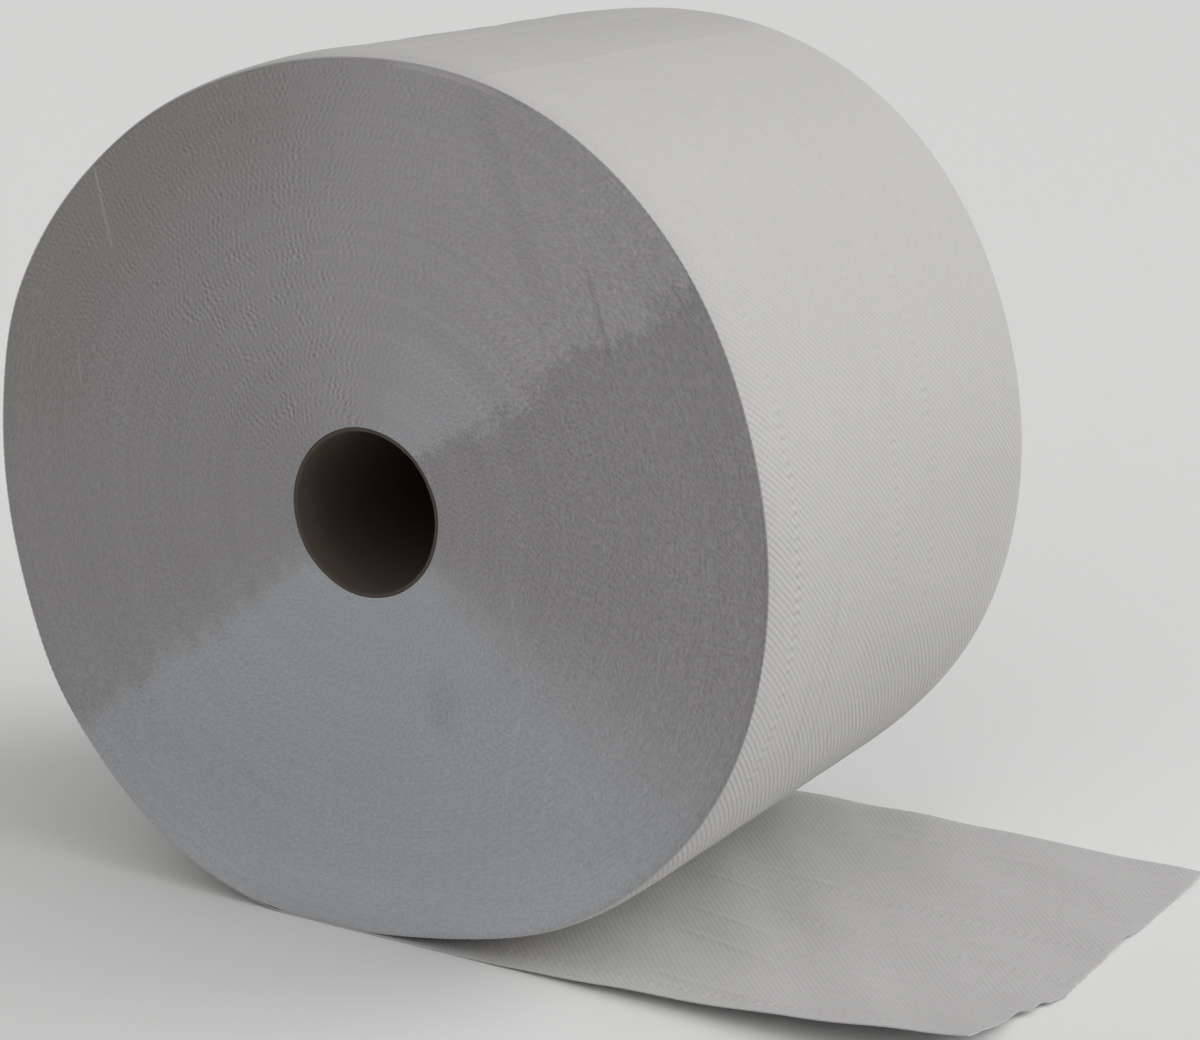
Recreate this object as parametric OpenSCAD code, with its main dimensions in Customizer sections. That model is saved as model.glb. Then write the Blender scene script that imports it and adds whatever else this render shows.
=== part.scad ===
// Wiping paper roll lying on its side, with its first sheet drawn out on the floor.
// The roll's axis is Y, its front end faces -Y and the sheet runs out towards +X.
// The origin is on the core's axis, halfway along it.
// Seen from the front, the paper passes from the drawn-out sheet under the roll, up its
// left side, over the top and down the right side, and so on inwards, turn by turn.

/* [Roll] */
// Diameter of the wound roll, before its own weight flattens it
roll_d = 334; // [240:1:400]
// Width of the paper, which is the length of the roll along its axis
roll_w = 220; // [120:1:400]
// How far the roll's weight has pressed in its lowest point
settle = 1.2; // [1:0.1:5]
// Height over which the flat spot blends into the round of the roll
flat_blend = 0.8; // [0.4:0.1:1]

/* [Out of round] */
// How far the two long sides of the slightly oval roll stand out
oval_out = 1.2; // [0:0.1:3]
// Direction of the oval's long axis, in degrees above +X
oval_at = 25; // [0:1:180]
// How far the four corners of the slightly squared roll stand out
corner_out = 2; // [0:0.1:3]
// Direction of the first of the four corners, in degrees above +X
corner_at = 58; // [0:1:90]
// Depth of the dent beside the flat spot, where the drawn-out turn has slackened the roll
dent_in = 3.7; // [0:0.1:5]
// Direction of the dent, in degrees above +X
dent_at = -83; // [-88:1:-70]
// Angle from the middle of the dent to where it is half as deep
dent_half = 16; // [10:1:25]
// How far the middle of the outside lies from the core's axis
off_core = 3.6; // [0:0.1:8]
// Direction in which the middle of the outside lies from the core's axis, in degrees above +X
off_core_at = 207; // [0:1:360]

/* [Core] */
// Bore of the cardboard core
bore_d = 60; // [38:1:80]
// Wall of the cardboard core
core_wall = 1.4; // [1:0.1:4]
// Gap between the core and the first turn wound on it
wound_gap = 0.1; // [0.05:0.05:0.3]

/* [Turns on the ends] */
// Distance along a radius between the lines that part one band of turns from the next
band_pitch = 6; // [3:0.5:12]
// Width of such a line at the end face
line_w = 1.2; // [0.6:0.1:1.6]
// Depth of such a line
line_depth = 0.5; // [0.2:0.1:1]
// Paper left plain between the outermost line and the outside of the roll
rim_margin = 3; // [2:0.5:8]

/* [Drawn-out sheet] */
// Thickness of the outermost turn and of the sheet drawn out from it
sheet_t = 0.5; // [0.3:0.1:0.8]
// Distance from the roll's axis to the torn end, halfway along the tear
sheet_reach = 243; // [170:1:400]
// How much further out the far end of the tear is than its near end
tear_slant = 6; // [0:0.5:20]
// Distance between two of the tabs that the perforation leaves along the tear
tab_pitch = 5; // [3:0.5:10]
// How far the longest tab stands out
tab_out = 0.8; // [0.2:0.1:3]
// How far the tear wanders from a straight line
tear_wander = 1.5; // [0:0.1:3]

/* [Curled corner] */
// Radius to which the near corner of the sheet curls up
curl_r = 198; // [100:1:300]
// Direction of the line where the curl begins, in degrees from +X
curl_turn = 23; // [10:1:40]
// Distance from the nip under the roll to the start of the curl
curl_from = 38; // [4:1:80]

/* [Hidden] */
$fn = 120;
line_fn = 40;

// Extra length that lets one solid run clear through another
over = 1;
core_r = bore_d / 2 + core_wall;
wound_r = core_r + wound_gap;
mid_x = off_core * cos(off_core_at);
mid_z = off_core * sin(off_core_at);
dent_power = ln(0.5) / ln(cos(dent_half / 2));
// Floor, measured from the middle of the outside and from the core's axis
under_a = [for (a = [-130:1:-50]) a];
under_z = [for (a = under_a) rim_r(a) * sin(a)];
lowest_a = under_a[search(min(under_z), under_z)[0]];
flat_z = settle + min(under_z);
floor_z = mid_z + flat_z;

// The outline runs anticlockwise from the nip, right of the flat spot, to the flat spot's
// left end, and the lap under it adds one sheet of thickness on the way.
outline_step = 3;
nip_a = level_angle(flat_z + sheet_t, sheet_t, lowest_a, lowest_a + 60, 16);
flat_a = level_angle(flat_z - flat_blend, 0, lowest_a, lowest_a - 60, 16) + 360;
nip_x = mid_x + (rim_r(nip_a) - sheet_t) * cos(nip_a);
outline_n = round((flat_a - nip_a) / outline_step);

// The line between the bands is a spiral of half rings that meet on one straight line through
// the core's axis. Its centre drifts from there to the middle of the outside.
spiral_r = wound_r + band_pitch;
line_room = min(-flat_z, min([for (a = [0:outline_step:360]) rim_r(a)]) - sheet_t) - rim_margin;
half_turns = floor((line_room - spiral_r) / (band_pitch / 2));

// The sheet lies flat up to the curl's line, which starts at the sheet's near edge.
sheet_x = nip_x + curl_from;
curl_step = 2;
curl_end = 60;
tear_step = tab_pitch / 4;
tear_seed = 7;

// Radius of the roll's outside in direction a, before its weight flattens it
function rim_r(a) =
    roll_d / 2 + oval_out * cos(2 * (a - oval_at)) + corner_out * cos(4 * (a - corner_at))
    - dent_in * pow(abs(cos((a - dent_at) / 2)), dent_power);

// Direction between a low and a high one in which the outside, less an inset, is at height z,
// found by halving the angle between them
function level_angle(z, inset, low, high, halvings) =
    let (a = (low + high) / 2, above = (rim_r(a) - inset) * sin(a) > z)
    halvings == 0 ? a : level_angle(z, inset, above ? low : a, above ? a : high, halvings - 1);

// Height z, kept above a level and blended into it
function pressed(z, level) =
    max(z, level) + pow(max(flat_blend - abs(z - level), 0), 2) / (4 * flat_blend);

// Point of the outline at a share s of the way from the nip to the flat spot's left end
function outline_point(s) =
    let (a = nip_a + s * (flat_a - nip_a), r = rim_r(a) - (1 - s) * sheet_t)
    [mid_x + r * cos(a), mid_z + pressed(r * sin(a), flat_z + (s < 0.5 ? sheet_t : 0))];

// Where the spiral line crosses that straight line for the time i, counted from the core
function crossing(i) =
    let (r = spiral_r + i * band_pitch / 2, drift = (r - wound_r) / (roll_d / 2 - wound_r))
    off_core * drift + (i % 2 == 0 ? r : -r);

// Place of the torn end at distance y from the middle of the sheet: a slanted line that
// wanders in two slow waves, with one tab of its own length to each step of the perforation
function tear_x(y) =
    let (share = y / roll_w, tab = floor(y / tab_pitch), within = y / tab_pitch - tab)
    sheet_reach + tear_slant * share
    + tear_wander * (sin(520 * share + 40) + 0.5 * sin(1370 * share)) / 1.5
    + tab_out * rands(0, 1, 1, tear_seed + tab)[0] * sin(180 * within);

// Cross-section of the wound paper with the flat strip that leaves it at the nip
module winding_section() {
    polygon(concat(
        [for (i = [0:outline_n]) outline_point(i / outline_n)],
        [[sheet_x, floor_z], [sheet_x, floor_z + sheet_t], [nip_x, floor_z + sheet_t]]
    ));
}

// One half turn of the line that parts the bands of turns, as wide as line_w at z = 0
module half_turn_line(i) {
    r = abs(crossing(i + 1) - crossing(i)) / 2;
    translate([(crossing(i + 1) + crossing(i)) / 2, 0, 0])
        rotate([0, 0, i % 2 == 0 ? 0 : 180])
            rotate_extrude(angle = 180, $fn = line_fn)
                polygon([[r, -line_depth], [r + line_w, line_depth], [r - line_w, line_depth]]);
}

// The whole line, from the core out to the rim
module turn_line() {
    rotate([0, 0, off_core_at])
        for (i = [0:half_turns - 1]) half_turn_line(i);
}

// Wound paper about Z, its front end up
module winding() {
    difference() {
        linear_extrude(height = roll_w, center = true) winding_section();
        cylinder(h = roll_w + 2 * over, r = wound_r, center = true);
        translate([0, 0, roll_w / 2]) turn_line();
        translate([0, 0, -roll_w / 2]) mirror([0, 0, 1]) turn_line();
    }
}

// Section of the sheet across the curl's line: flat on one side, an arc on the other
module curl_section() {
    angles = [for (a = [0:curl_step:curl_end]) a];
    inner_r = curl_r - sheet_t;
    polygon(concat(
        [[-2 * roll_w, 0]],
        [for (a = angles) [curl_r * sin(a), curl_r * (1 - cos(a))]],
        [for (i = [len(angles) - 1:-1:0]) [inner_r * sin(angles[i]), curl_r - inner_r * cos(angles[i])]],
        [[-2 * roll_w, sheet_t]]
    ));
}

// Outline of the sheet seen from above, from the strip at the nip to the tear
module sheet_plan() {
    steps = round(roll_w / tear_step);
    polygon(concat(
        [[sheet_x, roll_w / 2], [sheet_x, -roll_w / 2]],
        [for (i = [0:steps]) let (y = (i / steps - 0.5) * roll_w) [tear_x(y), y]]
    ));
}

// Drawn-out sheet, lying flat and curling up at its near corner
module drawn_sheet() {
    reach = sheet_reach + tear_slant + tab_out + tear_wander;
    intersection() {
        translate([0, 0, floor_z - over]) linear_extrude(height = curl_r) sheet_plan();
        translate([sheet_x, -roll_w / 2, floor_z])
            rotate([0, 0, curl_turn])
                translate([-reach, 0, 0])
                    rotate([90, 0, 90])
                        linear_extrude(height = 3 * reach)
                            mirror([1, 0, 0]) curl_section();
    }
}

// Spirally wound cardboard core, open from end to end
module core_tube() {
    color([0.45, 0.39, 0.33])
        rotate([90, 0, 0])
            difference() {
                cylinder(h = roll_w, r = core_r, center = true);
                cylinder(h = roll_w + 2 * over, d = bore_d, center = true);
            }
}

// Every turn of the paper and the sheet drawn out from the outermost one
module paper_roll() {
    color([0.78, 0.77, 0.76]) {
        rotate([90, 0, 0]) winding();
        drawn_sheet();
    }
}

core_tube();
paper_roll();
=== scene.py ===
"""Wiping paper roll lying on its side, with its first sheet drawn out on the floor.

The roll's axis is Y, its front end faces -Y and the sheet runs out towards +X. The origin is on the
core's axis, halfway along it, and all lengths are in metres.
"""

import math

import bpy
import numpy as np
from bpy.props import FloatProperty, FloatVectorProperty, PointerProperty
from bpy.types import Operator, Panel, PropertyGroup
from mathutils import Matrix, Vector


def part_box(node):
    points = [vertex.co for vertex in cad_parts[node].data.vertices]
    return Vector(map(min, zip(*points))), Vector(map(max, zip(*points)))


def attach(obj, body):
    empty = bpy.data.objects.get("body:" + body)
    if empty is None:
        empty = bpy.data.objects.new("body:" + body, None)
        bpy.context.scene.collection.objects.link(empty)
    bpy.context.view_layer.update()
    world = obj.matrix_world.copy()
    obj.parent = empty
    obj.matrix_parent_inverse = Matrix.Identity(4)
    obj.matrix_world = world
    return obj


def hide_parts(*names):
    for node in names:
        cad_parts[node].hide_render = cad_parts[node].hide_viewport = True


bl_info = {
    "name": "Wiping paper roll",
    "version": (1, 0, 0),
    "blender": (4, 5, 0),
    "location": "View3D > Sidebar > Paper Roll",
    "description": "Builds a roll of embossed wiping paper on its core, with one sheet drawn out",
    "category": "Object",
}

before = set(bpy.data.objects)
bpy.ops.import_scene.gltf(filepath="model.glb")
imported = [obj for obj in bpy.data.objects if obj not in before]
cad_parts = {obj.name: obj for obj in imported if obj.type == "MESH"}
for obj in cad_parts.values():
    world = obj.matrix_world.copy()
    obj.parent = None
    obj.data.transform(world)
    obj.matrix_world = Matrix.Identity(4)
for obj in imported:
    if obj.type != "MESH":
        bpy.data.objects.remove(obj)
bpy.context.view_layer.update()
ROLL_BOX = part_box("paper_roll")
CORE_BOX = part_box("core_tube")
ROLL_WIDTH = ROLL_BOX[1].y - ROLL_BOX[0].y
FLOOR = ROLL_BOX[0].z
CORE_OUTER = CORE_BOX[1].x
CORE_WALL = 0.0014
# Way round the core's bore, for the board's finish.
BORE_GIRTH = 0.19
ROLL_DIAMETER = 0.334
SHARP = 40

# Shallow swells and hollows of the roll's outside: direction and half width in degrees, height.
SWELLS = ((-60, 10, 0.0009), (-28, 26, 0.0006), (133, 12, -0.0010), (160, 8, 0.0010),
          (211, 9, 0.0011))

# Line of the torn end in millimetres: place across the sheet, distance past the sheet's reach.
TEAR = ((-110, -1.5), (-98, -4.7), (-88, -5.9), (-75, -6.5), (-52, -6.8), (-50, -3.4), (-39, -3.2),
        (-37.5, -0.8), (-30, 0.7), (30, 1.1), (48, 3.2), (84, 4.2), (110, 4.6))

# Creases of the sheet: place across it, both ends along X, half width, share of the full height
# and slope.
CREASES = (
    (0.0051, 0.068, 0.118, 0.0013, 0.8, -0.21), (0.0239, 0.070, 0.155, 0.0016, 0.5, -0.11),
    (-0.0302, 0.084, 0.138, 0.0013, 0.8, -0.25), (-0.0510, 0.090, 0.150, 0.0014, 0.8, -0.25),
    (-0.0890, 0.100, 0.160, 0.0017, 1.0, -0.16), (-0.0085, 0.108, 0.144, 0.0013, 0.5, -0.12),
    (0.0200, 0.140, 0.200, 0.0014, 0.5, 0.20), (0.0850, 0.100, 0.200, 0.0026, 0.7, -0.04))

# Slow waves in which the turns have crept along the axis: length along a radius, height.
CREEP = ((0.061, 1.0), (0.033, 0.8), (0.019, 0.6), (0.0115, 0.8), (0.0071, 0.35))

# Rows of bars that hold the plies together: place across the paper, strength.
BOND_ROWS = ((-0.0920, 1.0), (-0.0110, 0.6), (0.0210, 0.6))

# Places along the outermost turn, in metres of paper from the nip under the roll: the stretch in
# which the embossing fades and the top is painted lighter, the middle of a band of painted shade on
# the side, the place where the side is darker beside its rims, the strip that has lost its outer
# ply, and a fleck left on that strip, with its place across the paper.
FADE = (0.2669, 0.4015)
SIDE_SHADE_AT = 0.2259
RIMS_DARKER_AT = 0.1500
PATCH = (0.4697, 0.5057)
FLECK = (0.4960, -0.0540)

# Wrinkles on the side: place across the paper, both ends along it, rise of the near end.
WRINKLES = ((-0.060, 0.1556, 0.2786, 0.030), (-0.073, 0.1586, 0.2434, 0.026),
            (-0.046, 0.1586, 0.2200, 0.034))

# Marks on the front end: strength, less than 0 where dark, both ends as (x, z), half width.
MARKS = (
    (0.260, (-0.1190, 0.1132), (-0.1131, 0.0888), 0.0011),
    (0.120, (-0.1305, 0.0434), (-0.1299, 0.0357), 0.0014),
    (0.060, (0.0625, -0.0227), (0.0674, -0.0566), 0.0013),
    (0.060, (0.0674, -0.0566), (0.0590, -0.1020), 0.0012),
    (0.045, (0.0804, -0.0675), (0.0750, -0.1070), 0.0014),
    # This broad dark band is painted shade, along the border of the lighter upper sector of the cut
    # ends.
    (-0.060, (0.0520, 0.1420), (0.0690, 0.0990), 0.0075),
    (-0.170, (0.0935, 0.0925), (0.1000, 0.0720), 0.0019))
SMUDGE = (0.0335, -0.0415)

# Lamps: name, direction from the roll, width as seen from it in degrees, name of its strength.
LAMPS = (
    ("main_lamp", (0.66, 0.56, 0.50), 40, "key"),
    ("right_lamp", (0.87, 0.00, 0.50), 40, "right"),
    ("top_lamp", (0.26, 0.00, 0.97), 40, "top"),
    ("left_lamp", (-0.55, 0.25, 0.80), 60, "left"),
    ("front_lamp", (0.12, -0.70, 0.71), 60, "front"))

# Camera: place, then yaw, pitch and tilt in degrees, and focal length in millimetres.
CAMERA_PLACE = (0.58288, -0.94858, 0.27198)
CAMERA_TURN = (-30.04, -15.05, -0.55)
CAMERA_LENS = 87.78


# Sizes and colours


def length(name, default, description):
    """A length in metres that the panel shows to a tenth of a millimetre."""
    return FloatProperty(name=name, default=default, description=description, unit="LENGTH",
                         precision=4)


def angle(name, degrees, description):
    """An angle, given here in degrees and kept in radians."""
    return FloatProperty(name=name, default=math.radians(degrees), description=description,
                         subtype="ANGLE", unit="ROTATION")


def share(name, default, description):
    """A plain number from 0 to 1."""
    return FloatProperty(name=name, default=default, description=description, min=0, max=1)


def tint(name, red, green, blue, description):
    """A colour, given here as it looks on screen, from 0 to 255, and kept as scene-linear."""
    linear = [(v / 255 / 12.92) if v <= 10 else ((v / 255 + 0.055) / 1.055) ** 2.4
              for v in (red, green, blue)]
    return FloatVectorProperty(name=name, default=linear, description=description,
                               subtype="COLOR", size=3, min=0, max=1)


class RollShape(PropertyGroup):
    """Shape of the wound roll, as the solid model has it."""
    width: length("Width", ROLL_WIDTH, "Width of the paper, along the roll's axis")
    diameter: length("Diameter", ROLL_DIAMETER, "Diameter before the roll's weight flattens it")
    floor: length("Floor", FLOOR, "Height of the floor, from the core's axis")
    wound: length("Innermost turn", CORE_OUTER + 0.0001, "Radius of the innermost turn")
    oval_out: length("Oval", 0.0012, "How far the two long sides of the oval stand out")
    oval_at: angle("Oval direction", 25, "Direction of the oval's long axis")
    corner_out: length("Corners", 0.002, "How far the four corners stand out")
    corner_at: angle("Corner direction", 58, "Direction of the first corner")
    dent_in: length("Dent", 0.0037, "Depth of the dent beside the flat spot")
    dent_at: angle("Dent direction", -83, "Direction of the dent")
    dent_half: angle("Dent half angle", 16, "Angle from the dent's middle to half its depth")
    off_core: length("Off centre", 0.0036, "Distance of the outside's middle from the core's axis")
    off_core_at: angle("Off centre direction", 207, "Direction of the outside's middle")
    flat_blend: length("Flat spot blend", 0.0008, "Height over which the flat spot blends in")
    bulge: length("Bulge", 0.0019, "How far the outside stands proud of its two rims")
    bulge_run: length("Bulge run", 0.0055, "Distance from a rim within which the bulge rises")


class SheetShape(PropertyGroup):
    """Shape of the outermost turn and of the sheet drawn out from it."""
    thickness: length("Thickness", 0.0005, "Thickness of one sheet")
    reach: length("Reach", 0.243, "Distance from the core's axis to the middle of the torn end")
    tab_pitch: length("Tab pitch", 0.005, "Distance between two tabs of the perforation")
    tab_out: length("Tabs", 0.0008, "How far the longest tab stands out")
    curl_radius: length("Curl radius", 0.198, "Radius to which the near corner curls up")
    curl_turn: angle("Curl direction", 23, "Direction of the line where the curl begins")
    curl_from: length("Curl start", 0.038, "Distance from the nip to the start of the curl")
    wave: length("Waves", 0.0005, "Height of the slow waves in which the sheet lies")
    crease: length("Creases", 0.00045, "Height of the creases along the sheet")


class PaperLook(PropertyGroup):
    """Finish of the paper."""
    outside: tint("Outside", 196, 195, 193, "Colour of the outermost turn")
    sheet: tint("Sheet", 198, 197, 197, "Colour of the drawn-out sheet")
    # Painted shade: a warmer tint where the roll's shadow falls on the sheet.
    painted_nip_shade: tint("Sheet by the roll", 198, 198, 192, "Colour of the sheet close to the roll")
    patch: tint("Glue patch", 192, 191, 190, "Colour where the outer ply has come off")
    end: tint("Cut ends", 175, 173, 174, "Colour of the cut ends")
    # Painted shade: darker and warmer, in the two sectors where the cut fibres lean away.
    end_painted_shade: tint("Cut ends, warm", 160, 158, 159, "Colour where the cut fibres lean away")
    # Painted light: lighter and cooler, on the lower part of the cut ends and in a spot above the
    # core.
    end_painted_light: tint("Cut ends, cool", 179, 181, 184, "Colour of the lower part of the cut ends")
    end_worn: tint("Cut ends, worn", 152, 149, 147, "Colour where the outer turns are soiled")
    boss_along: length("Embossing along", 0.00281, "Pitch of the embossing along the paper")
    boss_across: length("Embossing across", 0.00315, "Pitch of the embossing across the paper")
    boss_height: length("Embossing height", 0.00006, "Height of the embossing")
    bond_pitch: length("Ply bond pitch", 0.0043, "Pitch of the bars that hold the plies together")
    turn: length("Turn", 0.000464, "Thickness of one turn, as the cut ends show it")
    row: length("Row of dashes", 0.0024, "Height of one row of dashes on the cut ends")
    dash: length("Dash pitch", 0.0025, "Pitch of the dashes along a row")


class CoreLook(PropertyGroup):
    """Shape and finish of the board core."""
    board: tint("Board", 94, 88, 76, "Colour of the board's face")
    cut: tint("Cut board", 90, 80, 72, "Colour of the board's cut ends")
    seam_pitch: length("Seam pitch", 0.13, "Length of core in which the seam goes round once")
    seam_width: length("Seam width", 0.0008, "Width of the gap between the board's edges")
    seam_depth: length("Seam depth", 0.0003, "Depth of that gap")


class StageLook(PropertyGroup):
    """Floor, lamps and camera."""
    floor: tint("Floor", 242, 242, 241, "Colour of the floor")
    back: tint("Background", 236, 235, 233, "Colour behind the floor")
    around: share("Light from all round", 0.11, "Strength of the even light from all round")
    key: share("Main lamp", 0.39, "Strength of the lamp behind the roll on the right")
    right: share("Right lamp", 0.22, "Strength of the lamp on the right")
    top: share("Top lamp", 0.10, "Strength of the lamp above the roll")
    left: share("Left lamp", 0.12, "Strength of the high lamp on the left")
    front: share("Front lamp", 0.20, "Strength of the lamp in front")


# Shapes


def smooth(value, low, high):
    """0 below low, 1 above high, and the smooth step 3t^2 - 2t^3 between them."""
    t = np.clip((value - low) / (high - low), 0, 1)
    return t * t * (3 - 2 * t)


def rim_radius(shape, a):
    """Radius of the roll's outside in direction a about its own middle.

    Half the diameter, plus a cosine of twice the angle for the oval, plus a cosine of four times
    the angle for the corners, less a narrow power of a cosine for the dent beside the flat spot,
    plus shallow bell-shaped swells and hollows: each is its height times e to the power of twice
    the cosine of the angle to it, less 2, over its squared half width.
    """
    power = math.log(0.5) / math.log(math.cos(shape.dent_half / 2))
    swells = 0
    for at, half, high in SWELLS:
        bell = (np.cos(a - math.radians(at)) - 1) / math.radians(half) ** 2
        swells = swells + high * np.exp(2 * bell)
    return (shape.diameter / 2 + shape.oval_out * np.cos(2 * (a - shape.oval_at))
            + shape.corner_out * np.cos(4 * (a - shape.corner_at))
            - shape.dent_in * np.abs(np.cos((a - shape.dent_at) / 2)) ** power + swells)


def middle(shape):
    """Middle of the outside, (x, z): off_core away from the core's axis."""
    return (shape.off_core * math.cos(shape.off_core_at),
            shape.off_core * math.sin(shape.off_core_at))


def contact(shape):
    """Directions, about the outside's middle, of the nip and of the flat spot's left end.

    They are where the outside crosses the floor's height below the middle.
    """
    a = np.radians(np.linspace(-130, -50, 8001))
    low = a[rim_radius(shape, a) * np.sin(a) < shape.floor - middle(shape)[1]]
    return low[-1], low[0] + math.tau


def bulge(shape, y):
    """How far the outside stands proud of its rims.

    It is the bulge times 1 less e to the power of minus the distance from the rim over the run.
    """
    inward = np.maximum(shape.width / 2 - np.abs(y), 0)
    return shape.bulge * (1 - np.exp(-inward / shape.bulge_run))


def lap(shape, sheet, a, y, inset, proud=0):
    """Points of one turn of the paper, in direction a about the outside's middle and at place y.

    The radius is the rim's, plus the bulge, less the inset and less the part of a sheet's thickness
    that the spiral still has to gain on its way from the nip to the flat spot. The height is
    pressed up to the floor, or to the sheet on it, and blended into it over flat_blend.
    """
    nip, flat = contact(shape)
    around = (a - nip) / (flat - nip)
    radius = (rim_radius(shape, a) + bulge(shape, y) + proud - inset
              - (1 - around) * sheet.thickness)
    cx, cz = middle(shape)
    level = shape.floor - cz + inset + np.where(around < 0.5, sheet.thickness, 0)
    z = radius * np.sin(a)
    z = (np.maximum(z, level)
         + np.maximum(shape.flat_blend - np.abs(z - level), 0) ** 2 / (4 * shape.flat_blend))
    return np.stack([cx + radius * np.cos(a), y + 0 * a, cz + z], -1)


def lumps(a, y, seed, waves, shortest, longest):
    """Slow uneven lumps between about -1 and 1: a mean of plane waves of seeded length and lay.

    Round the roll each wave has a whole number of crests, so that the lumps close on themselves.
    """
    rng = np.random.default_rng(seed)
    total = 0
    for _ in range(waves):
        turns = rng.integers(0, int(math.pi * ROLL_DIAMETER / shortest))
        size = rng.uniform(shortest, longest)
        total = total + np.sin(turns * a + math.tau * y / size + rng.uniform(0, math.tau))
    return total / math.sqrt(waves)


def tear(sheet, y):
    """Place along X of the torn end at distance y from the sheet's middle.

    A line through the places in TEAR, with one half wave of its own length, a tab, to each step of
    the perforation, and a fine frayed edge on top.
    """
    at, out = np.array(TEAR).T / 1000
    tab = np.floor(y / sheet.tab_pitch)
    rng = np.random.default_rng(7)
    tall = rng.uniform(0, 1, 64)[tab.astype(int) % 64]
    fray = np.sin(math.tau * y / 0.0031 + 1.3) + np.sin(math.tau * y / 0.0019)
    return (sheet.reach + np.interp(y, at, out)
            + sheet.tab_out * tall * np.sin(math.pi * (y / sheet.tab_pitch - tab))
            + 0.00012 * fray)


def curled(shape, sheet, x, y):
    """Height of the curled sheet above the flat one.

    It is the distance past the curl's line, squared, over twice the radius: the start of a circle.
    """
    nip = contact(shape)[0]
    nip_x = middle(shape)[0] + rim_radius(shape, nip) * math.cos(nip)
    past = ((x - nip_x - sheet.curl_from) * math.sin(sheet.curl_turn)
            - (y + shape.width / 2) * math.cos(sheet.curl_turn))
    return np.maximum(past, 0) ** 2 / (2 * sheet.curl_radius)


def creases(sheet, x, y):
    """Height of the creases: ridges with a bell-shaped section that fade at both ends."""
    total = 0 * x
    for at, start, end, half, high, slope in CREASES:
        across = (y - at - slope * (x - (start + end) / 2)) / half
        along = smooth(x, start, start + 0.02) * (1 - smooth(x, end - 0.02, end))
        total = total + high * along * np.exp(-across ** 2)
    return sheet.crease * total


# Meshes


def make_mesh(name, points, faces, corner_uv):
    """One object from arrays: points (n, 3), four-cornered faces (m, 4) and a UV for each corner.

    Faces that point inwards, which a negative volume shows, are turned round as a whole. Edges
    between faces that meet at more than SHARP degrees stay sharp.
    """
    a, b, c, d = (points[faces[:, k]] for k in range(4))
    if np.einsum("ij,ij->", a + c, np.cross(b - d, c - a)) > 0:
        faces, corner_uv = faces[:, ::-1], corner_uv[:, ::-1]
    mesh = bpy.data.meshes.new(name)
    mesh.vertices.add(len(points))
    mesh.vertices.foreach_set("co", points.astype(np.float32).ravel())
    mesh.loops.add(faces.size)
    mesh.loops.foreach_set("vertex_index", faces.astype(np.int32).ravel())
    mesh.polygons.add(len(faces))
    mesh.polygons.foreach_set("loop_start", np.arange(0, faces.size, 4, dtype=np.int32))
    mesh.polygons.foreach_set("use_smooth", np.ones(len(faces), bool))
    mesh.update(calc_edges=True)
    layer = mesh.uv_layers.new(name="surface")
    layer.data.foreach_set("uv", corner_uv.astype(np.float32).ravel())
    mesh.validate()
    mesh.set_sharp_from_angle(angle=math.radians(SHARP))
    piece = bpy.data.objects.new(name, mesh)
    bpy.context.scene.collection.objects.link(piece)
    return piece


def grid_faces(rows, columns, closed):
    """Corner numbers of a grid's faces and the same corners' places in a grid one larger.

    The grid is counted row by row. Where it is closed, its last row or column meets its first.
    """
    i, j = np.meshgrid(np.arange(rows - (not closed[0])), np.arange(columns - (not closed[1])),
                       indexing="ij")
    steps = ((0, 0), (1, 0), (1, 1), (0, 1))
    corners = [((i + p) % rows) * columns + (j + q) % columns for p, q in steps]
    places = [(i + p) * (columns + 1) + j + q for p, q in steps]
    return (np.stack(corners, -1).reshape(-1, 4), np.stack(places, -1).reshape(-1, 4))


def ring_piece(name, points, uv):
    """A closed ring, from points (around, section, 3) and UVs one larger each way."""
    faces, places = grid_faces(*points.shape[:2], (True, True))
    return make_mesh(name, points.reshape(-1, 3), faces, uv.reshape(-1, 2)[places])


def sheet_piece(name, upper, lower, uv):
    """A thin closed sheet between an upper and a lower surface, both (along, across, 3).

    The two surfaces make one flattened tube, and the faces between them close its two ends.
    """
    along, across = upper.shape[:2]
    tube = np.concatenate([upper, lower[:, ::-1]], 1)
    tube_uv = np.concatenate([uv, uv[:, ::-1]], 1)
    faces, _ = grid_faces(along, 2 * across, (False, True))
    first = np.arange(across - 1)
    cap = np.stack([first, first + 1, 2 * across - 2 - first, 2 * across - 1 - first], -1)
    last = cap[:, ::-1] + (along - 1) * 2 * across
    faces = np.concatenate([faces, cap, last])
    return make_mesh(name, tube.reshape(-1, 3), faces, tube_uv.reshape(-1, 2)[faces])


def dress(piece, surface):
    """Gives a piece its finish and lets it ride on the roll."""
    piece.data.materials.append(surface.material)
    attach(piece, "root")


# Finishes


def maths(operation):
    """An operator of Wire and its reflected form, as one kind of Math node."""
    def plain(self, *others):
        return self.math(operation, self, *others)

    def reflected(self, other):
        return self.math(operation, other, self)

    return plain, reflected


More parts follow.
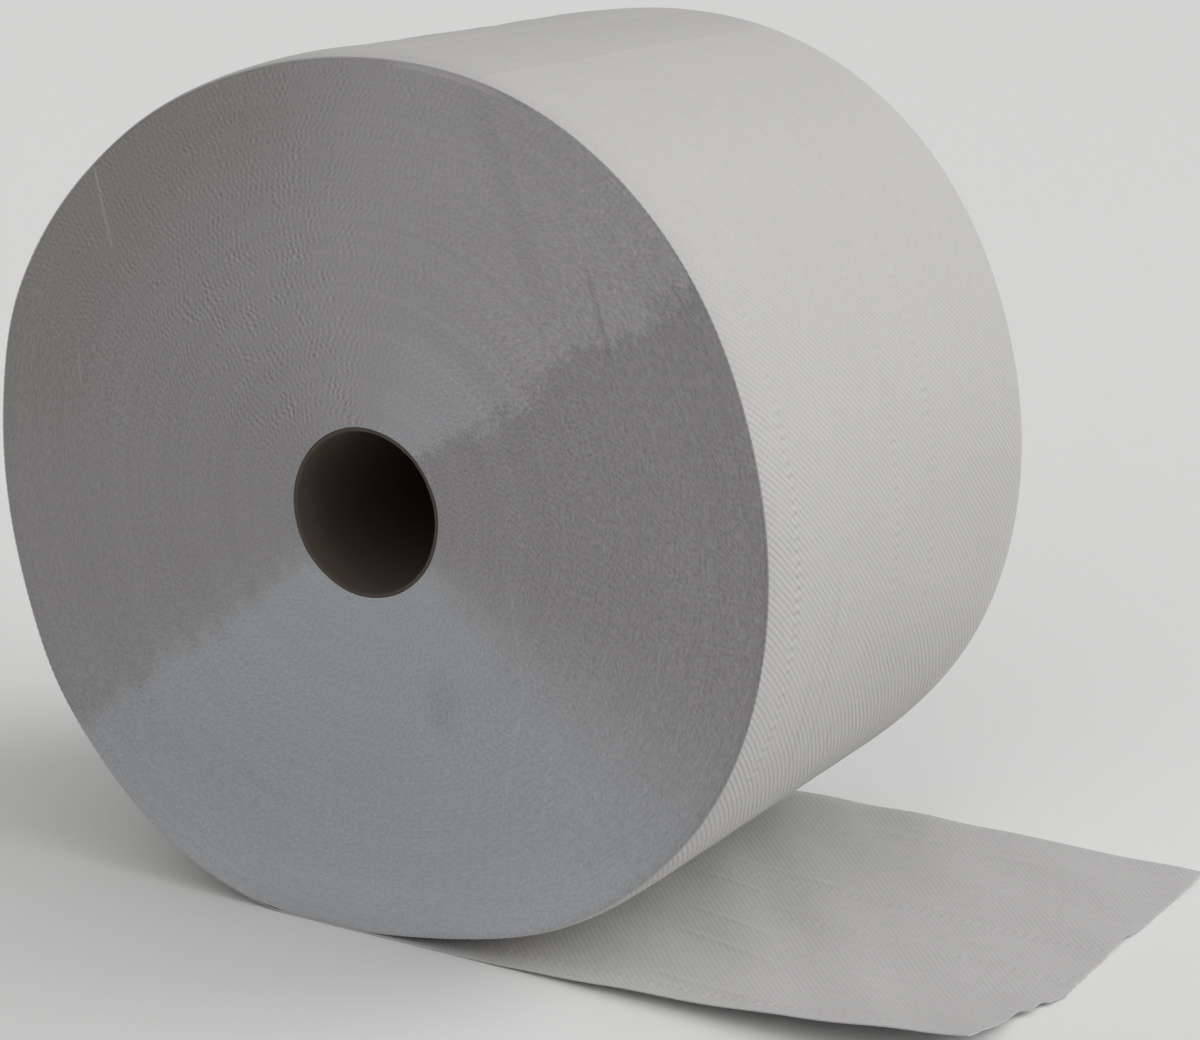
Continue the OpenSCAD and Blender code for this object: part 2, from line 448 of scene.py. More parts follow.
class Wire:
    """One socket's value. Sums, products and quotients of wires and numbers add Math nodes."""

    def __init__(self, surface, socket):
        self.surface, self.socket = surface, socket

    def math(self, operation, *values):
        return self.surface.node("ShaderNodeMath", {"operation": operation}, values)

    __add__, __radd__ = maths("ADD")
    __sub__, __rsub__ = maths("SUBTRACT")
    __mul__, __rmul__ = maths("MULTIPLY")
    __truediv__, __rtruediv__ = maths("DIVIDE")
    __abs__, sine, floor = maths("ABSOLUTE")[0], maths("SINE")[0], maths("FLOOR")[0]
    # What is left of the value above its whole number.
    part = maths("FRACT")[0]
    higher, lower = maths("MAXIMUM")[0], maths("MINIMUM")[0]

    def step(self, low, high):
        """Smooth step from 0 at low to 1 at high. With low above high it falls instead."""
        if low > high:
            return 1.0 - self.step(high, low)
        settings = {"interpolation_type": "SMOOTHSTEP"}
        return self.surface.node("ShaderNodeMapRange", settings, (self, low, high, 0.0, 1.0))


class Surface:
    """One material, or one block of another kind that has nodes."""

    def __init__(self, name, blocks="materials"):
        self.material = getattr(bpy.data, blocks).new(name)
        self.material.use_nodes = True
        self.tree = self.material.node_tree
        self.tree.nodes.clear()

    def node(self, kind, settings=(), values=(), out=0):
        """Adds a node, sets its settings, then its sockets by number or name. Gives one output."""
        node = self.tree.nodes.new(kind)
        for key, value in dict(settings).items():
            setattr(node, key, value)
        pairs = values.items() if isinstance(values, dict) else enumerate(values)
        for key, value in pairs:
            if isinstance(value, Wire):
                self.tree.links.new(value.socket, node.inputs[key])
            else:
                node.inputs[key].default_value = value
        return Wire(self, node.outputs[out]) if len(node.outputs) else None

    def split(self, vector):
        """The three numbers of a vector."""
        parts = self.node("ShaderNodeSeparateXYZ", values=(vector,)).socket.node
        return [Wire(self, socket) for socket in parts.outputs]

    def place(self):
        """Place on the object: X, Y and Z in metres."""
        return self.split(self.node("ShaderNodeTexCoord", out="Object"))

    def unrolled(self):
        """The piece's own two coordinates, from its UV map."""
        return self.split(self.node("ShaderNodeUVMap", {"uv_map": "surface"}))[:2]

    def vector(self, x=0.0, y=0.0, z=0.0):
        return self.node("ShaderNodeCombineXYZ", values=(x, y, z))

    def noise(self, at, size, detail=2.0, rough=0.5, kind="2D"):
        """Cloudy noise from -1 to 1 whose clouds are about size across.

        It goes over one value, "1D", or over the first two or all three numbers of a vector.
        """
        wire = self.node("ShaderNodeTexNoise", {"noise_dimensions": kind},
                         {"W" if kind == "1D" else "Vector": at, "Scale": 1 / size,
                          "Detail": detail, "Roughness": rough})
        return wire * 2.0 - 1.0

    def chance(self, value):
        """A number from -1 to 1 that is another one for each whole number."""
        wire = self.node("ShaderNodeTexWhiteNoise", {"noise_dimensions": "1D"}, {"W": value})
        return wire * 2.0 - 1.0

    def mix(self, amount, first, second):
        """Colour that goes from first to second as amount goes from 0 to 1."""
        return self.node("ShaderNodeMix", {"data_type": "RGBA"},
                         {0: amount, 6: self.colour(first), 7: self.colour(second)}, out=2)

    def scaled(self, colour, amount):
        """Colour made lighter or darker by a number."""
        return self.node("ShaderNodeVectorMath", {"operation": "SCALE"}, {0: colour, 3: amount})

    @staticmethod
    def colour(value):
        return value if isinstance(value, Wire) else (*value, 1.0)

    def finish(self, colour, height, distance, roughness, sheen=0.0, specular=0.25):
        """Ends the material. The bump is as high as distance where height is 1."""
        normal = self.node("ShaderNodeBump", {}, {"Strength": 1.0, "Distance": distance,
                                                  "Height": height})
        shader = self.node("ShaderNodeBsdfPrincipled", {}, {
            "Base Color": colour, "Roughness": roughness, "Normal": normal,
            "Specular IOR Level": specular, "Sheen Weight": sheen, "Sheen Roughness": 0.6})
        self.node("ShaderNodeOutputMaterial", {}, (shader,))
        return self


class Web(Surface):
    """Embossed paper, on UVs in metres along and across the paper.

    The bosses catch the light, their hollows are a little darker, the fibres cloud the tone, and
    rows of bars hold the plies together.
    """

    def __init__(self, name, look):
        super().__init__(name)
        self.look = look
        self.along, self.across = self.unrolled()
        self.whole = self.vector(self.along, self.across)
        self.boss = self.embossing() * (1.0 + 0.5 * self.noise(self.whole, 0.014, 1.0))
        self.fibres = self.noise(self.whole, 0.0006, 2.0, 0.6)
        self.cloud = self.noise(self.whole, 0.045, 2.0)
        self.mottle = self.noise(self.whole, 0.0045, 2.0, 0.6)
        self.bonds = self.rows_of_bars() * (
            0.7 + 1.2 * self.mottle + 0.8 * self.cloud).higher(0.1).lower(1.2)

    def embossing(self):
        """Height of the embossing, from -1 to 1: bosses in a staggered grid.

        Two plane waves that cross, of which the first is the stronger and has narrow hollows, so
        that the bosses line up in slanting rows. The rows drift slowly out of line.
        """
        u = self.along * (math.tau / self.look.boss_along)
        v = self.across * (math.tau / self.look.boss_across)
        drift = 1.6 * self.noise(self.whole, 0.03, 0.0)
        groove = 0.5 - 0.5 * (u + v + drift).sine()
        return 0.75 - 1.4 * groove * groove + (u - v).sine() * 0.3

    def rows_of_bars(self):
        """Rows of short bars, 1 on a bar. The bars are the crests of a sine along the paper."""
        shift = 0.005 * self.along.step(0.5, 0.9)
        bars = (self.along * (math.tau / self.look.bond_pitch)).sine().higher(-0.4)
        total = 0.0
        for at, strong in BOND_ROWS:
            total = total + strong * abs(self.across - at + shift).step(0.0034, 0.0008)
        return bars * total

    def wrinkle(self, at, start, end, rise):
        """Soft ridge at a place across the paper, from start to end along it, bent at its start."""
        left = 1.0 - ((self.along - start) / 0.075).higher(0.0).lower(1.0)
        body = abs(self.across - at - rise * left * left).step(0.0026, 0.0)
        return body * self.along.step(start, start + 0.02) * self.along.step(end, end - 0.05)

    def end(self, colour, tone, height, bonds):
        """Ends the material, with the fibres, the slow clouds and the bonds added."""
        streak = self.noise(self.vector(self.along * 0.12, self.across), 0.006, 1.0)
        tone = tone + 0.014 * self.cloud + 0.010 * streak + 0.036 * self.fibres - 0.11 * bonds
        return self.finish(self.scaled(colour, tone), height + 0.3 * self.fibres - 0.9 * bonds,
                           self.look.boss_height, 0.92, sheen=0.08)


def outside_surface(look):
    """Outermost turn: embossed below and pressed flat on top, where a strip of ply is missing."""
    web = Web("paper_outside", look)
    along, across = web.along, web.across
    plain = along.step(*FADE)
    deep = 1.0 - 0.78 * plain
    low = 0.75 + 0.25 * along.step(0.06, 0.16)
    # Painted shade: a darker band across the side, a little below the roll's middle.
    painted_side_shade = abs(along - SIDE_SHADE_AT).step(0.085, 0.02)
    # Darker near both rims at one place low on the side.
    darker_by_rims = abs(across).step(0.050, 0.085) * abs(along - RIMS_DARKER_AT).step(0.060, 0.020)
    # Wrinkles: raised in the bump, and painted darker as shade in the tone.
    wrinkles = 0.0
    for at, start, end, rise in WRINKLES:
        wrinkles = wrinkles + web.wrinkle(at, start, end, rise)

    # The strip without its outer ply has ragged borders, and one fleck of that ply is left on it.
    ragged = (0.0016 * web.noise(web.whole, 0.012, 3.0)
              + 0.0005 * web.noise(web.whole, 0.0022, 2.0))
    strip = ((along + ragged).step(PATCH[0] - 0.0003, PATCH[0] + 0.0003)
             * (along + ragged * 1.4 + 0.05 * across).step(PATCH[1] + 0.0012, PATCH[1] - 0.0004))
    border = strip * (1.0 - strip) * 4.0
    away = web.node("ShaderNodeVectorMath", {"operation": "DISTANCE"},
                    {0: web.whole, 1: (*FLECK, 0)}, out=1)
    fleck = (away + 1.5 * ragged).step(0.0052, 0.0030)

    cut = (abs(across) + 0.00008 * web.fibres).step(ROLL_WIDTH / 2 - 0.00032,
                                                    ROLL_WIDTH / 2 - 0.00012)
    colour = web.mix(strip * (1.0 - 0.55 * fleck), look.outside, look.patch)
    # The cut edges at the rims are darkened a little towards the cut ends' colour of painted shade.
    colour = web.mix(0.35 * cut, colour, look.end_painted_shade)
    # Painted light and shade in the tone: the pressed-flat top is lighter; the band on the side and
    # the wrinkles are darker.
    tone = (0.985 + 0.090 * deep * low * web.boss + 0.038 * web.mottle + 0.055 * plain
            - 0.05 * painted_side_shade - 0.04 * darker_by_rims + 0.02 * border - 0.05 * wrinkles)
    height = (deep * web.boss * 1.6 + 2.6 * wrinkles) * (1.0 - 0.55 * strip) - 1.2 * strip
    return web.end(colour, tone, height, 1.3 * web.bonds * (1.0 - plain))


def sheet_surface(look):
    """Drawn-out sheet: flatter embossing, and a warmer tint of painted shade close to the roll."""
    web = Web("paper_sheet", look)
    x = web.place()[0]
    # Painted shade: the sheet takes a warmer tint where the roll's shadow falls on it.
    painted_nip_shade = x.step(0.045, 0.080) * (x + 0.01 * web.cloud).step(0.160, 0.120)
    colour = web.mix(painted_nip_shade, look.sheet, look.painted_nip_shade)
    tone = 1.0 + 0.042 * web.boss + 0.058 * web.mottle
    return web.end(colour, tone, 0.45 * web.boss, web.bonds)


class CutEnds(Surface):
    """Cut ends of the wound roll, on UVs that are the turn's direction and its radius.

    The cut edges of the turns make fine rings and rows of dashes. Two sectors, where the cut fibres
    lean away from the light, are painted darker and warmer as shade: each has one ragged border and
    one that fades.
    """

    def __init__(self, look):
        super().__init__("cut_ends")
        self.look = look
        self.round, self.radius = self.unrolled()
        self.x, y, self.z = self.place()
        self.flat = self.vector(self.x, self.z)
        self.ring = self.vector(self.radius, self.x / self.radius * 0.001,
                                self.z / self.radius * 0.001)
        self.front = y.step(0.001, -0.001)
        # Direction as a part of a turn, from 0 to 1 and from -0.5 to 0.5.
        self.part = self.round.part()
        self.turned = (self.round + 0.5).part() - 0.5
        self.fibres = self.noise(self.flat, 0.0011, 2.0, 0.7)
        self.clumps = self.noise(self.flat, 0.0065, 2.0, 0.6)
        self.cloud = self.noise(self.flat, 0.04, 2.0)

    def dashes(self, upright):
        """Height, from -1 to 1, of the dashes that the cut edges of the embossed turns make.

        A few turns lie in step and make one row of dashes, whose phase is the length of paper
        wound up to there over the dashes' pitch and drifts slowly along the row. The rows are one
        long spiral, so that they close on themselves. Within a row the dashes lean, most of them
        far over.
        """
        height = self.look.row
        uneven = 0.22 * self.noise(self.ring, 0.013, 1.0, kind="3D")
        rows = self.radius / height + uneven - self.round
        row, within = rows.floor(), rows.part()
        wound = row + self.round
        count = (wound * wound + wound) * (math.pi * height / self.look.dash)
        drift = (0.8 * self.noise(count, 9.0, 2.0, 0.6, kind="1D")
                 + 0.55 * self.noise(self.flat, 0.014, 1.0, 0.6))
        lean = ((1.7 - 1.35 * upright) * (0.6 + 1.1 * self.noise(self.flat, 0.05, 0.0))
                + 0.45 * self.chance(row))
        wave = ((count + drift + (within - 0.5) * lean) * math.tau).sine()
        strong = (0.62 + 1.1 * self.noise(self.flat, 0.012, 2.0, 0.6)
                  + 1.0 * self.noise(count, 3.0, 1.0, kind="1D")).higher(0.05)
        return wave * (within * math.pi).sine() * strong

    def sectors(self, dash):
        """The two warm sectors of painted shade, 1 inside them, and the clumps of painted shade
        beside the right one's border.

        Their raggedness is a few millimetres, so it is divided by the way round at each radius.
        """
        radius, turned = self.radius, self.turned
        girth = radius * math.tau
        fringe = self.noise(self.vector(radius, self.round * 0.08), 0.0040, 2.0, 0.7)
        ragged = (0.0080 * self.noise(self.flat, 0.017, 2.0, 0.7) + 0.0045 * self.clumps
                  + 0.0016 * dash + 0.0024 * self.fibres) / girth
        soft = 0.0036 / girth
        wander = ((radius - 0.09) * (math.tau / 0.075)).sine() * 0.0035
        near_core = radius.step(0.064, 0.040) * 0.022
        right = (0.1014 - turned - ragged - 0.0040 * fringe / girth + wander + near_core) / soft
        right_in = right.step(-1.0, 1.0) * (turned + ragged).step(-0.13, -0.02)
        left = self.part + ragged + 0.35 * wander
        left_in = (((0.6050 - left) / soft).step(-1.8, 1.8) * left.step(0.20, 0.43)
                   * (1.0 - 0.28 * left.step(0.545, 0.600)))
        border = right.step(-0.5, 1.0) * right.step(4.5, 2.0) * self.clumps.step(0.0, 0.5)
        return right_in.higher(left_in), border

    def segment(self, start, end, half):
        """Soft line on the end face: 1 along it and 0 past half its width."""
        (ax, az), (bx, bz) = start, end
        size = math.hypot(bx - ax, bz - az)
        ux, uz = (bx - ax) / size, (bz - az) / size
        along = (self.x - ax) * ux + (self.z - az) * uz
        across = abs((self.x - ax) * uz - (self.z - az) * ux)
        beyond = abs(along - size / 2) - size / 2
        return across.step(half, 0.0) * beyond.step(half * 4, 0.0)

    def front_wear(self):
        """Tone of the front end's wear (scratches, streaks, a smudge, a crushed rim) and of one
        band of painted shade.
        """
        total = 0.0
        for strong, start, end, half in MARKS:
            total = total + strong * self.segment(start, end, half)
        away = self.node("ShaderNodeVectorMath", {"operation": "DISTANCE"},
                         {0: self.vector(self.x, self.z * 0.62), 1: (*SMUDGE, 0)}, out=1)
        dirt = (away + 0.004 * self.noise(self.flat, 0.006, 2.0)).step(0.0115, 0.002)
        specks = dirt * self.noise(self.flat, 0.0013, 1.0).step(0.35, 0.6)
        crushed = ((self.radius + 0.0006 * self.clumps).step(0.1643, 0.1654)
                   * self.part.step(0.188, 0.198) * self.part.step(0.238, 0.226))
        return self.front * (total - 0.08 * dirt - 0.10 * specks + 0.17 * crushed)


def end_surface(look, shape):
    """Finish of both cut ends: sectors of painted shade, painted light low down, rings, dashes,
    fibres, soiled outer turns and wear.
    """
    ends = CutEnds(look)
    radius, part, turned, z = ends.radius, ends.part, ends.turned, ends.z
    upper_left = part.step(0.17, 0.30) * part.step(0.47, 0.38)
    calm = abs(part - 0.205).step(0.09, 0.03)
    low = (z / radius).step(-0.15, -0.75)
    quiet = low.higher(abs(part - 0.55).step(0.12, 0.05))
    dash = ends.dashes(upper_left) * (0.40 + 0.66 * upper_left)
    rings = ends.noise(ends.ring, 0.0036, 2.0, 0.7, kind="3D")
    each = ends.chance(((radius - shape.wound) / look.turn - ends.round).floor())
    streaks = ends.noise(ends.vector(radius, ends.round * 0.28), 0.0011, 2.0, 0.7)

    warm, border = ends.sectors(dash)
    # Spot above the core that gets painted light.
    cool = radius.step(0.090, 0.055) * turned.step(0.07, 0.12) * turned.step(0.24, 0.18)
    soiled = (radius.step(0.085, 0.160) * abs(part - 0.385).step(0.165, 0.05)
              * (0.9 + 0.35 * ends.cloud)).lower(1.0)
    # Painted light: the lower part of the cut ends, and a spot above the core, are lighter and
    # cooler.
    colour = ends.mix(low.higher(0.55 * cool), look.end, look.end_painted_light)
    # Painted shade: the two sectors are darker and warmer.
    colour = ends.mix(warm, colour, look.end_painted_shade)
    colour = ends.mix(soiled, colour, look.end_worn)

    rim_shade = radius.step(0.1625, 0.1665) * abs(turned + 0.095).step(0.14, 0.09)
    grain = ((0.15 - 0.06 * calm) * ends.fibres
             + (0.10 + 0.19 * (1.0 - upper_left) - 0.12 * calm) * streaks
             + (0.04 + 0.05 * (1.0 - upper_left)) * rings + 0.02 * each)
    dashed = 0.21 * dash * (1.0 - 0.4 * calm) * (1.0 - 0.35 * soiled)
    # Painted light: the tone rises towards the bottom of the cut ends. The clumps by the right
    # sector's border are painted shade.
    tone = (0.99 + (dashed + grain) * (1.0 - 0.32 * quiet) + 0.020 * ends.cloud
            + 0.14 * z.step(-0.10, -0.158) + 0.05 * z.step(-0.134, -0.150)
            - 0.07 * border - 0.10 * rim_shade + ends.front_wear())
    height = 0.7 * dash + 0.12 * each + 0.4 * streaks
    return ends.finish(ends.scaled(colour, tone), height, 0.00012, 0.95, sheen=0.05,
                       specular=0.15)


def board_surface(look, shape):
    """Grey-brown board of the core: fibres, specks and a darker seam, lighter at the cut ends."""
    surface = Surface("core_board")
    y = surface.place()[1]
    round_, along = surface.unrolled()
    girth = round_ * BORE_GIRTH
    whole = surface.vector(girth, along)
    fibres = surface.noise(surface.vector(girth, along * 0.35), 0.0012, 2.0, 0.6)
    cloud = surface.noise(whole, 0.02, 2.0)
    specks = surface.noise(whole, 0.0016, 1.0).step(0.45, 0.7)
    ends = (shape.width / 2 - abs(y)).step(0.0009, 0.0002)
    seam = (0.5 - abs(round_ - 0.5)).step(1.6 * look.seam_width / BORE_GIRTH, 0.0)
    colour = surface.mix(ends, look.board, look.cut)
    tone = 1.0 + 0.05 * fibres + 0.05 * cloud + 0.12 * specks - 0.2 * seam * (1.0 - ends)
    return surface.finish(surface.scaled(colour, tone), fibres + 0.5 * cloud, 0.00006, 0.88,
                          specular=0.2)


# Pieces


def paper_values(scene):
    """The roll's shape, the sheet's shape and the paper's look."""
    return scene.paper_roll, scene.paper_sheet, scene.paper_look


class WPR_OT_wound_body(Operator):
    """Builds the wound paper inside the outermost turn, with its two cut ends"""
    bl_idname = "paper_roll.wound_body"
    bl_label = "Wound body"

    columns = 540
    rows = 84

    def outline(self, shape, sheet):
        """Closed outside of the body, one sheet inside the outermost turn.

        In the last few degrees before the flat spot's left end the step of the spiral is blended
        away, where the floor hides it.
        """
        flat = contact(shape)[1]
        a = flat - math.tau + math.tau * np.arange(self.columns) / self.columns
        # The body reaches 0.03 mm into the outermost turn, so that no gap shows between them.
        inset = sheet.thickness - 0.00003
        rim = lap(shape, sheet, a, 0 * a - shape.width / 2, inset)
        start = lap(shape, sheet, a - math.tau, 0 * a - shape.width / 2, inset)
        blend = smooth(a, flat - math.radians(6), flat)[:, None]
        return rim * (1 - blend) + start * blend

    def execute(self, context):
        roll, sheet, look = paper_values(context.scene)
        rim = self.outline(roll, sheet)
        cx, cz = middle(roll)
        direction = np.arctan2(rim[:, 2] - cz, rim[:, 0] - cx)
        unit = np.stack([np.cos(direction), 0 * direction, np.sin(direction)], -1)
        core = roll.wound * unit
        mean = roll.diameter / 2 * unit + np.array([cx, 0, cz])

        # Share of the way from the core to the rim, with closer rows near the rim.
        way = np.linspace(0, 1, self.rows)
        way = way + 0.05 * np.sin(math.pi * way) * way
        part = way[None, :, None]
        face = core[:, None] + (mean - core)[:, None] * part + (rim - mean)[:, None] * part ** 3
        radius = roll.wound + way * (roll.diameter / 2 - roll.wound)

        def cut_end(side, seed):
            """One end: its rings moved in and out by slow waves, as the turns have crept."""
            rng = np.random.default_rng(seed)
            creep = 0 * radius
            for size, high in CREEP:
                creep = creep + high * np.sin(math.tau * radius / size + rng.uniform(0, 6))
            uneven = lumps(direction[:, None], radius[None], seed, 7, 0.09, 0.2)
            deep = 0.00007 * creep[None] * (1 + 0.3 * uneven) + 0.00022 * uneven
            deep = deep * smooth(1 - way, 0, 0.05) + 0.0001 * smooth(way, 0.988, 1)
            points = face.copy()
            points[..., 1] = side * (roll.width / 2 - deep)
            return points

        front, back = cut_end(-1, 3), cut_end(1, 4)
        walls = np.linspace(-1, 1, 6)[1:-1]
        outside = [self.wall(front[:, -1], back[:, -1], w) for w in walls]
        bore = [self.wall(front[:, 0], back[:, 0], -w) for w in walls]
        points = np.concatenate([front, *outside, back[:, ::-1], *bore], 1)

        turns = (direction[0] / math.tau) % 1 + np.arange(self.columns + 1) / self.columns
        across = np.concatenate([radius, [radius[-1]] * 4, radius[::-1], [radius[0]] * 5])
        uv = np.stack(np.meshgrid(turns, across, indexing="ij"), -1)
        piece = ring_piece("wound_body", points, uv)
        dress(piece, end_surface(look, roll))
        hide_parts("paper_roll")
        return {"FINISHED"}

    @staticmethod
    def wall(front, back, at):
        """Ring between the front and the back one, at a place from -1 to 1."""
        return (front * (1 - at) / 2 + back * (1 + at) / 2)[:, None]


class WPR_OT_outer_turn(Operator):
    """Builds the outermost turn, from under the flat spot once round to the drawn-out sheet"""
    bl_idname = "paper_roll.outer_turn"
    bl_label = "Outermost turn"

    columns = 1501
    rows = 29

    def execute(self, context):
        roll, sheet, look = paper_values(context.scene)
        nip, flat = contact(roll)
        a = np.linspace(flat - math.tau, flat, self.columns)[:, None]
        # Rows stand closer together near the two rims.
        t = np.linspace(-1, 1, self.rows)
        y = roll.width / 2 * np.sin(t * math.pi / 2)[None] * np.ones_like(a)
        along = (a - nip) * roll.diameter / 2
        # The rims are cut a little wavy, and the outside is slightly lumpy and ridged.
        rim = smooth(np.abs(t), 0.97, 1)[None]
        teeth = np.sin(math.tau * along / look.boss_along + 1.5 * np.sin(along / 0.021))
        y = y - np.sign(y) * rim * (0.00014 + 0.00014 * teeth)
        up = smooth(np.sin(a), -0.9, -0.5)
        uneven = lumps(a, y, 11, 9, 0.07, 0.3) * 0.00022 * up * (1 - rim * 0.5)
        ridge = 0.00012 * np.sin(math.tau * y / 0.034 + 2 * np.sin(a * 2)) * up
        outer = lap(roll, sheet, a, y, 0, uneven + ridge)
        inner = lap(roll, sheet, a, y, sheet.thickness, uneven + ridge)
        uv = np.stack([along + 0 * y, y], -1)
        piece = sheet_piece("outer_turn", outer, inner, uv)
        dress(piece, outside_surface(look))
        return {"FINISHED"}


class WPR_OT_drawn_sheet(Operator):
    """Builds the sheet drawn out from under the roll, with its curled corner and torn end"""
    bl_idname = "paper_roll.drawn_sheet"
    bl_label = "Drawn-out sheet"

    columns = 176
    rows = 239

    def execute(self, context):
        roll, sheet, look = paper_values(context.scene)
        nip, flat = contact(roll)
        start = middle(roll)[0] + rim_radius(roll, flat) * math.cos(flat)
        u = np.linspace(0, 1, self.columns)[:, None]
        y = np.linspace(-roll.width / 2, roll.width / 2, self.rows)[None] * np.ones_like(u)
        x = start + u * (tear(sheet, y) - start)
        # Past the roll the sheet lies in slow waves, creased and buckled, with both edges lifted.
        free = smooth(x, 0.03, 0.11)
        wave = (0.5 + 0.25 * np.sin(math.tau * x / 0.083 + 1.0 + 9 * y)
                + 0.25 * np.sin(math.tau * (y + 0.22 * x) / 0.061))
        edge = smooth(np.abs(y), 0.095, 0.11) * 0.0006
        buckle = 0.0003 * (1 + lumps(2 * x / ROLL_DIAMETER, y, 5, 9, 0.035, 0.09))
        z = roll.floor + curled(roll, sheet, x, y) + free * (sheet.wave * wave + edge + buckle
                                                              + 0.75 * creases(sheet, x, y))
        lower = np.stack([x, y, z], -1)
        upper = lower + np.array([0, 0, sheet.thickness])
        wound = (flat - nip) * roll.diameter / 2
        uv = np.stack([wound + x - start, y], -1)
        piece = sheet_piece("drawn_sheet", upper, lower, uv)
        dress(piece, sheet_surface(look))
        return {"FINISHED"}


class WPR_OT_core(Operator):
    """Builds the spirally wound board core"""
    bl_idname = "paper_roll.core"
    bl_label = "Board core"

    columns = 96
    bore_rows = 221
    back_rows = 111

    def execute(self, context):
        roll, look = context.scene.paper_roll, context.scene.core_look
        outer, inner = CORE_OUTER, CORE_OUTER - CORE_WALL
        half, soft = roll.width / 2, 0.0004
        # Section of the wall: the bore, the back rim, the outside and the front rim.
        bore = np.linspace(-half + soft, half - soft, self.bore_rows)
        home = np.linspace(half - soft, -half + soft, self.back_rows)
        bend = np.radians([30, 60])
        rim_y = np.concatenate([half - soft + soft * np.sin(bend), [half, half],
                                half - soft + soft * np.cos(bend)])
        rim_r = np.concatenate([inner + soft - soft * np.cos(bend), [inner + soft, outer - soft],
                                outer - soft + soft * np.sin(bend)])
        y = np.concatenate([bore, rim_y, home, -rim_y[::-1]])
        r = np.concatenate([inner + 0 * bore, rim_r, outer + 0 * home, rim_r[::-1]])
        # The columns follow the seam, and stand closer together beside it.
        t = np.linspace(0, 1, self.columns, endpoint=False)
        t = t - 0.9 * np.sin(math.tau * t) / math.tau
        a = math.tau * (t[:, None] + y[None] / look.seam_pitch)
        near = np.minimum(t, 1 - t) * math.tau * inner
        gap = smooth(-near, -look.seam_width / 2, -look.seam_width / 6) * look.seam_depth
        on_bore = (r < inner + soft * 0.5) & (np.abs(y) < half)
        radius = r[None] + gap[:, None] * on_bore[None]
        rough = (0.00008 * np.sin(9 * a + 1.0) + 0.00006 * np.sin(23 * a + 1.0)
                 + 0.00005 * np.sin(57 * a))
        torn = (np.abs(y) > half - 0.001) * (0.0001 + rough)
        points = np.stack([radius * np.cos(a), y[None] - np.sign(y)[None] * torn,
                           radius * np.sin(a)], -1)
        uv = np.stack(np.meshgrid(np.append(t, 1), np.append(y, y[0]), indexing="ij"), -1)
        piece = ring_piece("core_board", points, uv)
        dress(piece, board_surface(look, roll))
        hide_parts("core_tube")
        return {"FINISHED"}


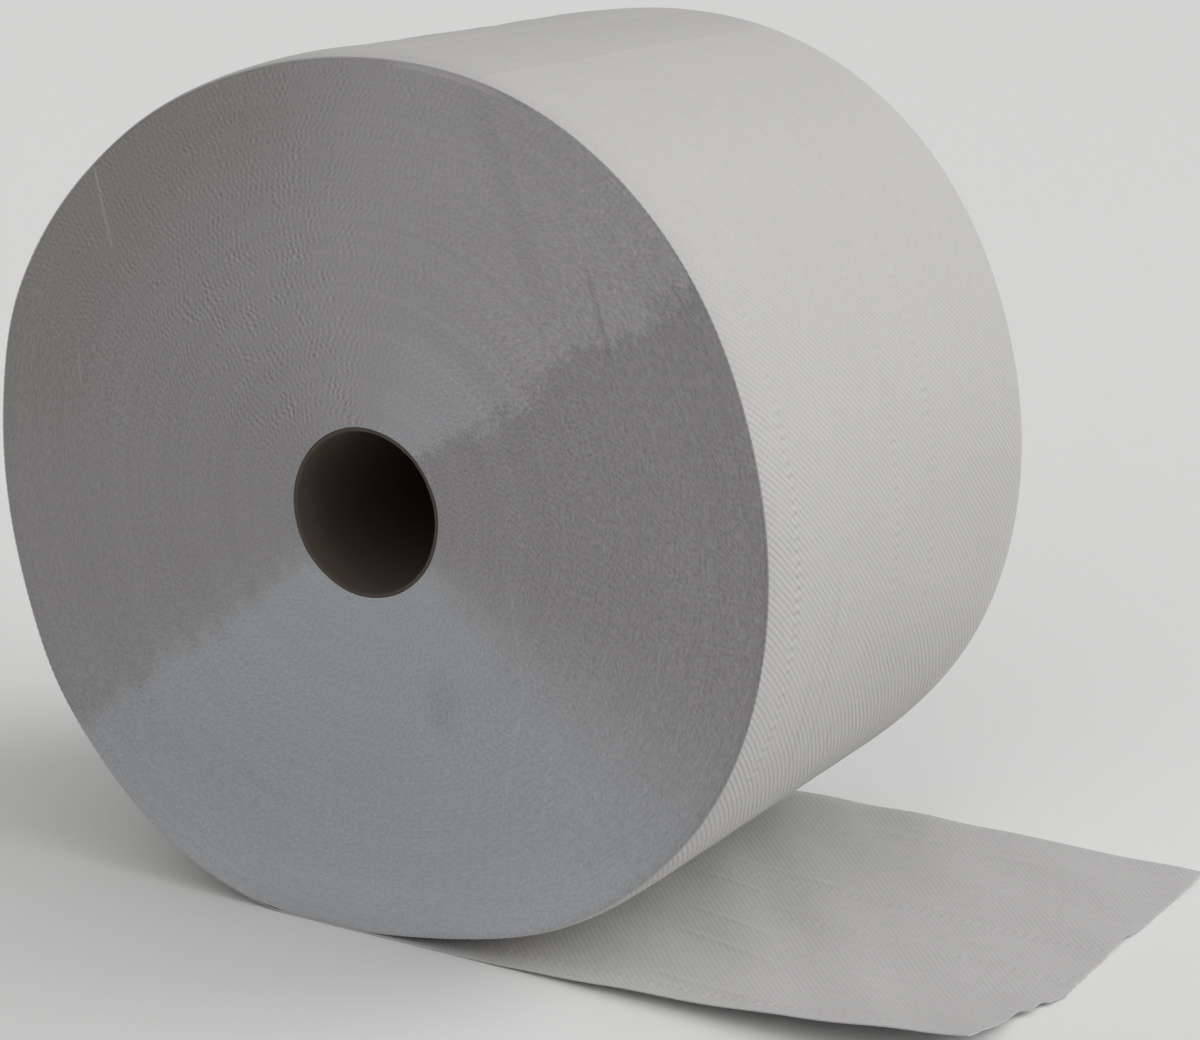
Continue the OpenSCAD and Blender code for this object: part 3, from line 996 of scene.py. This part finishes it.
class WPR_OT_stage(Operator):
    """Sets up the floor, the lamps, the background and the camera"""
    bl_idname = "paper_roll.stage"
    bl_label = "Stage"

    def execute(self, context):
        scene, stage = context.scene, context.scene.stage_look
        self.floor(stage, scene.paper_roll.floor)
        self.lamps(stage)
        self.background(scene, stage)
        self.camera(scene)
        scene.view_settings.view_transform = "Standard"
        return {"FINISHED"}

    def floor(self, stage, level):
        """A wide plain floor, just under the roll."""
        size, low = 6.0, level - 0.0002
        corners = [(-size, -size, low), (size, -size, low), (size, size, low), (-size, size, low)]
        mesh = bpy.data.meshes.new("floor")
        mesh.from_pydata(corners, [], [(0, 1, 2, 3)])
        floor = bpy.data.objects.new("floor", mesh)
        bpy.context.scene.collection.objects.link(floor)
        surface = Surface("floor")
        shader = surface.node("ShaderNodeBsdfPrincipled", {}, {
            "Base Color": (*stage.floor, 1), "Roughness": 0.9, "Specular IOR Level": 0.1})
        surface.node("ShaderNodeOutputMaterial", {}, (shader,))
        mesh.materials.append(surface.material)

    def lamps(self, stage):
        """Broad lamps far away, which light the whole floor alike."""
        for name, away, wide, strength in LAMPS:
            data = bpy.data.lights.new(name, "SUN")
            # A face turned to the lamp gets its strength.
            data.energy, data.angle = getattr(stage, strength) * math.pi, math.radians(wide)
            lamp = bpy.data.objects.new(name, data)
            lamp.matrix_world = Vector(away).to_track_quat("Z", "Y").to_matrix().to_4x4()
            bpy.context.scene.collection.objects.link(lamp)

    def background(self, scene, stage):
        """Even white light from all round. The camera sees the background's own pale colour."""
        world = Surface("studio", "worlds")
        light = world.node("ShaderNodeBackground", {}, {"Strength": stage.around,
                                                        "Color": (1, 1, 1, 1)})
        shown = world.node("ShaderNodeBackground", {}, {"Color": (*stage.back, 1)})
        seen = world.node("ShaderNodeLightPath", out="Is Camera Ray")
        mixed = world.node("ShaderNodeMixShader", {}, (seen, light, shown))
        world.node("ShaderNodeOutputWorld", {}, (mixed,))
        scene.world = world.material

    def camera(self, scene):
        """Camera in front of the roll's right half, looking down at its end and its side."""
        yaw, pitch, tilt = (math.radians(degrees) for degrees in CAMERA_TURN)
        turned = (Matrix.Rotation(-yaw, 4, "Z") @ Matrix.Rotation(math.pi / 2 + pitch, 4, "X")
                  @ Matrix.Rotation(-tilt, 4, "Z"))
        data = bpy.data.cameras.new("camera")
        data.sensor_fit, data.sensor_width, data.lens = "HORIZONTAL", 36, CAMERA_LENS
        camera = bpy.data.objects.new("camera", data)
        camera.matrix_world = Matrix.Translation(CAMERA_PLACE) @ turned
        scene.collection.objects.link(camera)
        scene.camera = camera


class WPR_PT_panel(Panel):
    """Sizes, colours and steps of the paper roll"""
    bl_idname = "WPR_PT_panel"
    bl_label = "Paper Roll"
    bl_space_type = "VIEW_3D"
    bl_region_type = "UI"
    bl_category = "Paper Roll"

    def draw(self, context):
        for group in GROUPS:
            box = self.layout.box()
            box.label(text=group.replace("_", " ").capitalize())
            values = getattr(context.scene, group)
            for key in values.__annotations__:
                box.prop(values, key)
        for step in STEPS:
            self.layout.operator(step.bl_idname)


GROUPS = {"paper_roll": RollShape, "paper_sheet": SheetShape, "paper_look": PaperLook,
          "core_look": CoreLook, "stage_look": StageLook}
STEPS = (WPR_OT_wound_body, WPR_OT_outer_turn, WPR_OT_drawn_sheet, WPR_OT_core, WPR_OT_stage)


def register():
    for kind in (*GROUPS.values(), *STEPS, WPR_PT_panel):
        bpy.utils.register_class(kind)
    for name, kind in GROUPS.items():
        setattr(bpy.types.Scene, name, PointerProperty(type=kind))


def unregister():
    for name in GROUPS:
        delattr(bpy.types.Scene, name)
    for kind in reversed((*GROUPS.values(), *STEPS, WPR_PT_panel)):
        bpy.utils.unregister_class(kind)


def main():
    register()
    for step in STEPS:
        group, name = step.bl_idname.split(".")
        getattr(getattr(bpy.ops, group), name)()


if __name__ == "__main__":
    main()
